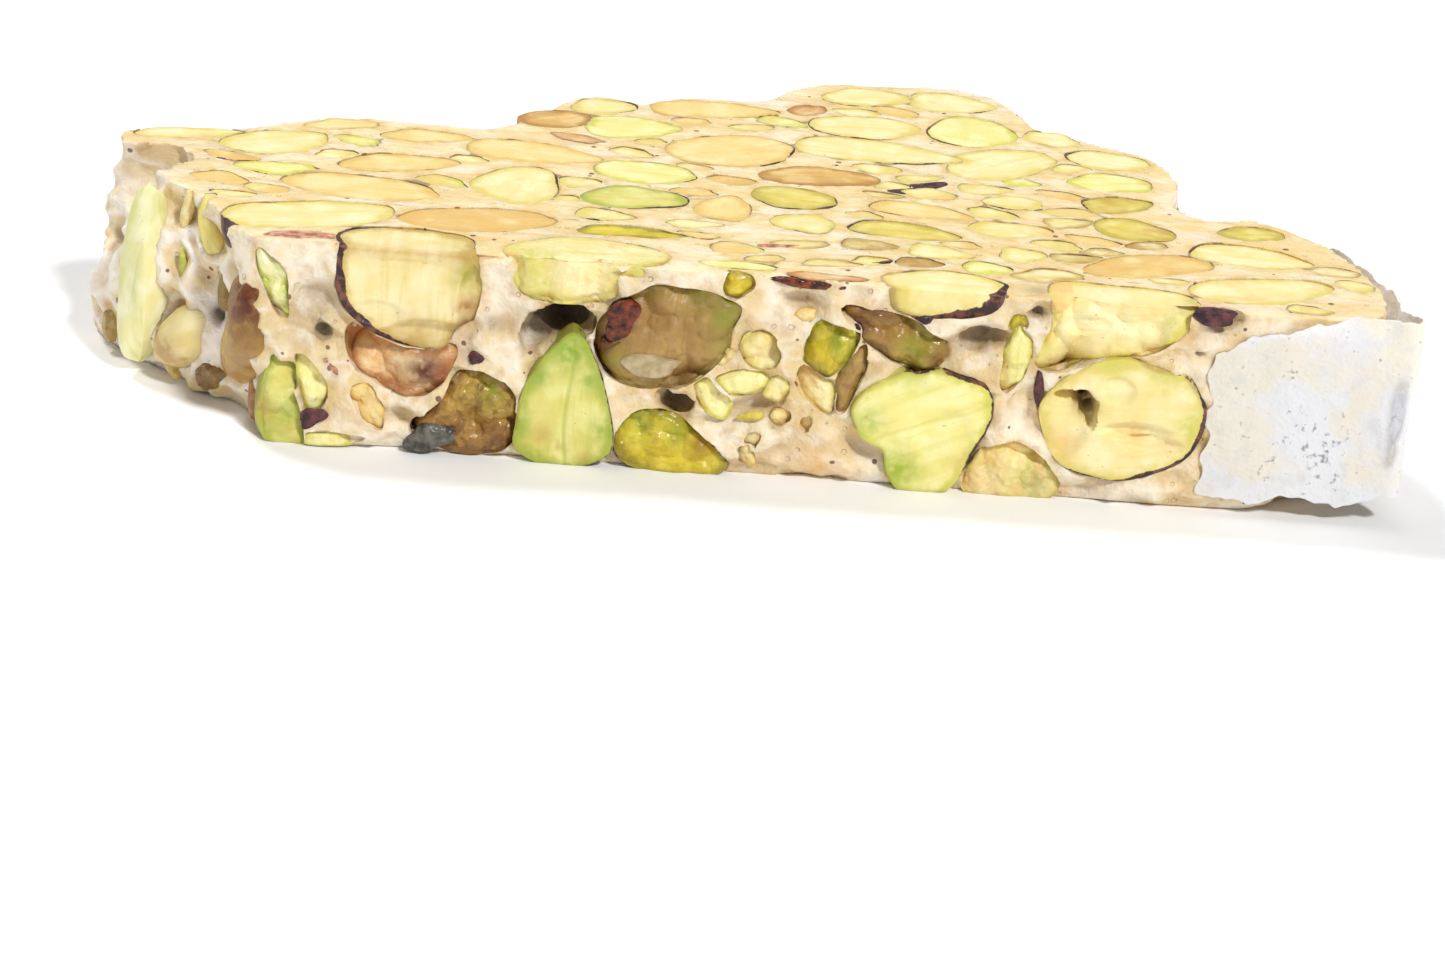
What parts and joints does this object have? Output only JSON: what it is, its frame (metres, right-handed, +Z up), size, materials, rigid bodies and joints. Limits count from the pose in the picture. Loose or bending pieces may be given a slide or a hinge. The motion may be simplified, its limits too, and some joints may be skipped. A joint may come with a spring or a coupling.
{
  "type": "nougat bar",
  "caption": "Thick slice of soft pale nougat packed with whole pistachio kernels cut across on its flat face, with a torn front and wafer paper folded round one corner.",
  "frame": {"origin": "middle of the bounding box, at its bottom, which is the flat underside the slice rests on", "axes": "+X along the front edge towards the papered end, +Y from the torn front to the back, +Z up out of the upper cut face"},
  "size_m": [0.1172, 0.0674, 0.019],
  "materials": {
    "nougat": "soft satin, aerated",
    "wafer_paper": "dry matt, translucent",
    "kernel_pale": "cut kernel, satin",
    "kernel_cream": "cut kernel, satin",
    "kernel_lime": "cut kernel, satin",
    "kernel_green": "cut kernel, satin",
    "kernel_olive": "oily, satin",
    "kernel_tan": "toasted, satin",
    "kernel_amber": "glossy, translucent",
    "kernel_umber": "toasted skin, satin",
    "kernel_taupe": "toasted, matt"
  },
  "bodies": {
    "root": {"nougat_body": "nougat", "wafer_paper": "wafer_paper", "kernel_front_01": "kernel_pale", "kernel_front_02": "kernel_pale", "kernel_front_03": "kernel_cream", "kernel_front_04": "kernel_amber", "kernel_front_05": "kernel_umber", "kernel_front_06": "kernel_green", "kernel_front_07": "kernel_taupe", "kernel_front_08": "kernel_olive", "kernel_front_09": "kernel_olive", "kernel_front_10": "kernel_umber", "kernel_front_11": "kernel_lime", "kernel_front_12": "kernel_pale", "kernel_front_13": "kernel_green", "kernel_top_01": "kernel_pale", "kernel_top_02": "kernel_tan", "kernel_top_03": "kernel_tan", "kernel_top_04": "kernel_pale", "kernel_top_05": "kernel_tan", "kernel_top_06": "kernel_pale", "kernel_top_07": "kernel_tan", "kernel_top_08": "kernel_umber", "kernel_top_09": "kernel_pale", "kernel_top_10": "kernel_lime", "kernel_top_11": "kernel_lime", "kernel_top_12": "kernel_green", "kernel_top_13": "kernel_tan", "kernel_top_14": "kernel_tan", "kernel_top_15": "kernel_pale", "kernel_top_16": "kernel_tan", "kernel_top_17": "kernel_olive", "kernel_top_18": "kernel_umber", "kernel_top_19": "kernel_pale", "kernel_top_20": "kernel_pale", "kernel_top_21": "kernel_pale", "kernel_top_22": "kernel_pale", "kernel_top_23": "kernel_lime", "kernel_top_24": "kernel_pale", "kernel_top_25": "kernel_tan", "kernel_top_26": "kernel_pale", "kernel_top_27": "kernel_lime", "kernel_top_28": "kernel_olive", "kernel_top_29": "kernel_olive", "kernel_top_30": "kernel_olive", "kernel_top_31": "kernel_pale", "kernel_top_32": "kernel_pale", "kernel_top_33": "kernel_tan", "kernel_top_34": "kernel_olive", "kernel_top_35": "kernel_pale", "kernel_top_36": "kernel_pale", "kernel_top_37": "kernel_pale", "kernel_left_01": "kernel_green", "kernel_left_02": "kernel_cream", "kernel_left_03": "kernel_umber", "kernel_left_04": "kernel_olive", "kernel_back_01": "kernel_pale", "kernel_back_02": "kernel_lime", "kernel_back_03": "kernel_pale", "kernel_back_04": "kernel_tan"}
  },
  "joints": []
}
